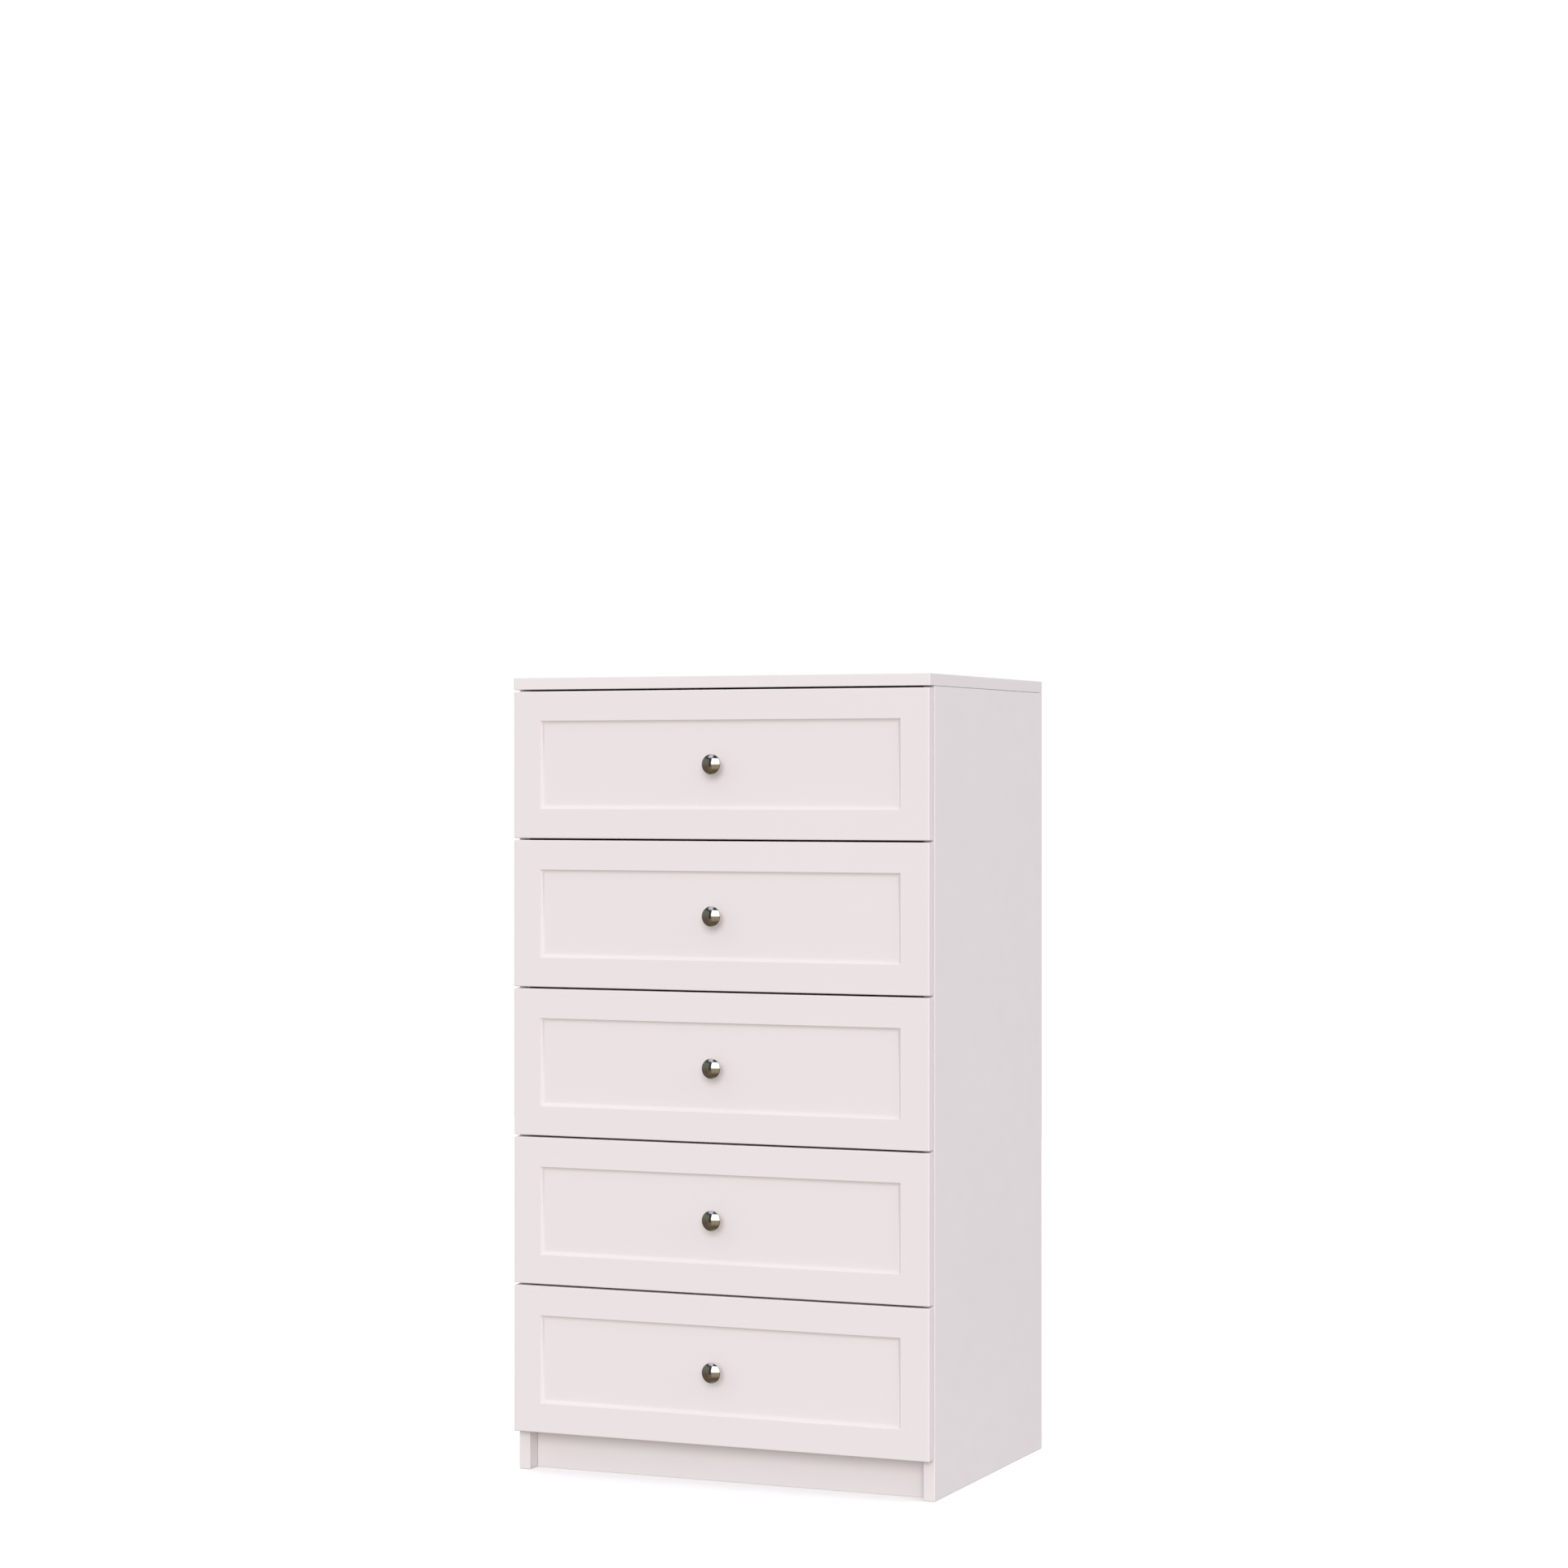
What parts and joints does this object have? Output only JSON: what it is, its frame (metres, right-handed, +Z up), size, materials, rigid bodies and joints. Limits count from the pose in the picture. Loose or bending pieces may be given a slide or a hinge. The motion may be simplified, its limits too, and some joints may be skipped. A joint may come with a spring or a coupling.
{
  "type": "chest of drawers",
  "caption": "Tall narrow chest with equal framed drawer fronts and round knobs, on a recessed plinth, for storing clothes.",
  "frame": {"origin": "on the floor, at the middle of the whole object's width and of its depth, knobs included", "axes": "+Z up, +X to the right as seen by someone facing the drawers, -Y out of the fronts towards that person"},
  "size_m": [0.6, 0.4626, 1.0685],
  "materials": {
    "carcass_laminate": "white melamine laminate on chipboard, satin",
    "front_lacquer": "white foil on fibreboard, satin",
    "box_laminate": "white melamine laminate on chipboard, matt",
    "box_bottom_sheet": "white printed hardboard, matt",
    "back_hardboard": "hardboard, white print inside and bare brown behind",
    "runner_steel": "white epoxy coat, with nylon rollers",
    "knob_nickel": "polished nickel plate"
  },
  "bodies": {
    "carcass": {"left_side_panel": "carcass_laminate", "right_side_panel": "carcass_laminate", "top_panel": "carcass_laminate", "bottom_panel": "carcass_laminate", "plinth": "carcass_laminate", "back_panel": "back_hardboard", "carcass_runner_1_left": "runner_steel", "carcass_runner_1_right": "runner_steel", "carcass_runner_2_left": "runner_steel", "carcass_runner_2_right": "runner_steel", "carcass_runner_3_left": "runner_steel", "carcass_runner_3_right": "runner_steel", "carcass_runner_4_left": "runner_steel", "carcass_runner_4_right": "runner_steel", "carcass_runner_5_left": "runner_steel", "carcass_runner_5_right": "runner_steel"},
    "drawer_1": {"drawer_1_front": "front_lacquer", "drawer_1_knob": "knob_nickel", "drawer_1_left_side": "box_laminate", "drawer_1_right_side": "box_laminate", "drawer_1_back": "box_laminate", "drawer_1_bottom": "box_bottom_sheet", "drawer_1_left_runner": "runner_steel", "drawer_1_right_runner": "runner_steel"},
    "drawer_2": {"drawer_2_front": "front_lacquer", "drawer_2_knob": "knob_nickel", "drawer_2_left_side": "box_laminate", "drawer_2_right_side": "box_laminate", "drawer_2_back": "box_laminate", "drawer_2_bottom": "box_bottom_sheet", "drawer_2_left_runner": "runner_steel", "drawer_2_right_runner": "runner_steel"},
    "drawer_3": {"drawer_3_front": "front_lacquer", "drawer_3_knob": "knob_nickel", "drawer_3_left_side": "box_laminate", "drawer_3_right_side": "box_laminate", "drawer_3_back": "box_laminate", "drawer_3_bottom": "box_bottom_sheet", "drawer_3_left_runner": "runner_steel", "drawer_3_right_runner": "runner_steel"},
    "drawer_4": {"drawer_4_front": "front_lacquer", "drawer_4_knob": "knob_nickel", "drawer_4_left_side": "box_laminate", "drawer_4_right_side": "box_laminate", "drawer_4_back": "box_laminate", "drawer_4_bottom": "box_bottom_sheet", "drawer_4_left_runner": "runner_steel", "drawer_4_right_runner": "runner_steel"},
    "drawer_5": {"drawer_5_front": "front_lacquer", "drawer_5_knob": "knob_nickel", "drawer_5_left_side": "box_laminate", "drawer_5_right_side": "box_laminate", "drawer_5_back": "box_laminate", "drawer_5_bottom": "box_bottom_sheet", "drawer_5_left_runner": "runner_steel", "drawer_5_right_runner": "runner_steel"}
  },
  "joints": [
    {"name": "drawer_1_slide", "type": "slide", "parent": "carcass", "child": "drawer_1", "axis": [0, -1, 0], "range_m": [0, 0.3]},
    {"name": "drawer_2_slide", "type": "slide", "parent": "carcass", "child": "drawer_2", "axis": [0, -1, 0], "range_m": [0, 0.3]},
    {"name": "drawer_3_slide", "type": "slide", "parent": "carcass", "child": "drawer_3", "axis": [0, -1, 0], "range_m": [0, 0.3]},
    {"name": "drawer_4_slide", "type": "slide", "parent": "carcass", "child": "drawer_4", "axis": [0, -1, 0], "range_m": [0, 0.3]},
    {"name": "drawer_5_slide", "type": "slide", "parent": "carcass", "child": "drawer_5", "axis": [0, -1, 0], "range_m": [0, 0.3]}
  ]
}
